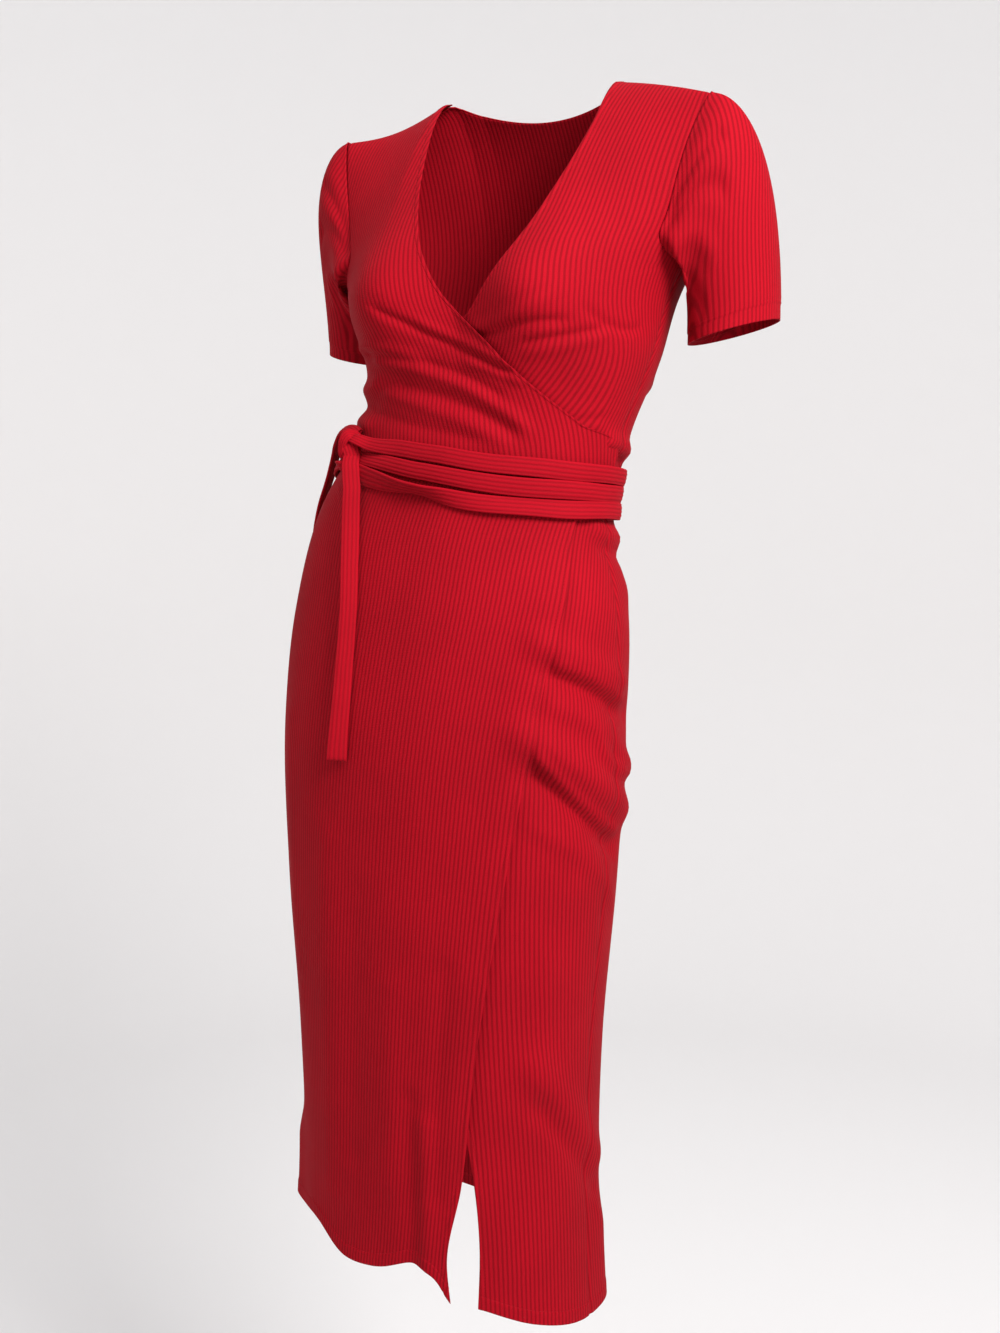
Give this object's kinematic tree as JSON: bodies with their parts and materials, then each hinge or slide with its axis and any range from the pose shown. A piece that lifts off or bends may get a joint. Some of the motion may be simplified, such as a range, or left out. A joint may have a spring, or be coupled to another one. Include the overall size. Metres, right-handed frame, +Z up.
{
  "type": "wrap dress",
  "caption": "Fitted short-sleeved wrap dress in fine rib jersey, crossed front, narrow ties wound round the waist and knotted at the wearer's right, straight skirt to the calf.",
  "frame": {"origin": "middle of the body at the height of the two neck points of the shoulder seams, where the wearer's shoulders hold the dress", "axes": "+Z up, -Y towards the front of the dress, +X towards the wearer's left"},
  "size_m": [0.457, 0.2633, 1.1029],
  "materials": {
    "right_front_bodice": "matt fine rib jersey",
    "left_front_bodice": "matt fine rib jersey",
    "back_bodice": "matt fine rib jersey",
    "left_sleeve": "matt fine rib jersey",
    "right_sleeve": "matt fine rib jersey",
    "right_front_skirt": "matt fine rib jersey",
    "left_front_skirt": "matt fine rib jersey",
    "back_skirt": "matt fine rib jersey",
    "tie_turn_upper": "matt fine rib jersey",
    "tie_turn_middle": "matt fine rib jersey",
    "tie_turn_lower": "matt fine rib jersey",
    "tie_knot": "matt fine rib jersey",
    "tie_end_front": "matt fine rib jersey",
    "tie_end_side": "matt fine rib jersey"
  },
  "bodies": {
    "root": {"right_front_bodice": "right_front_bodice", "left_front_bodice": "left_front_bodice", "back_bodice": "back_bodice", "left_sleeve": "left_sleeve", "right_sleeve": "right_sleeve", "right_front_skirt": "right_front_skirt", "left_front_skirt": "left_front_skirt", "back_skirt": "back_skirt", "tie_turn_upper": "tie_turn_upper", "tie_turn_middle": "tie_turn_middle", "tie_turn_lower": "tie_turn_lower", "tie_knot": "tie_knot", "tie_end_front": "tie_end_front", "tie_end_side": "tie_end_side"}
  },
  "joints": []
}
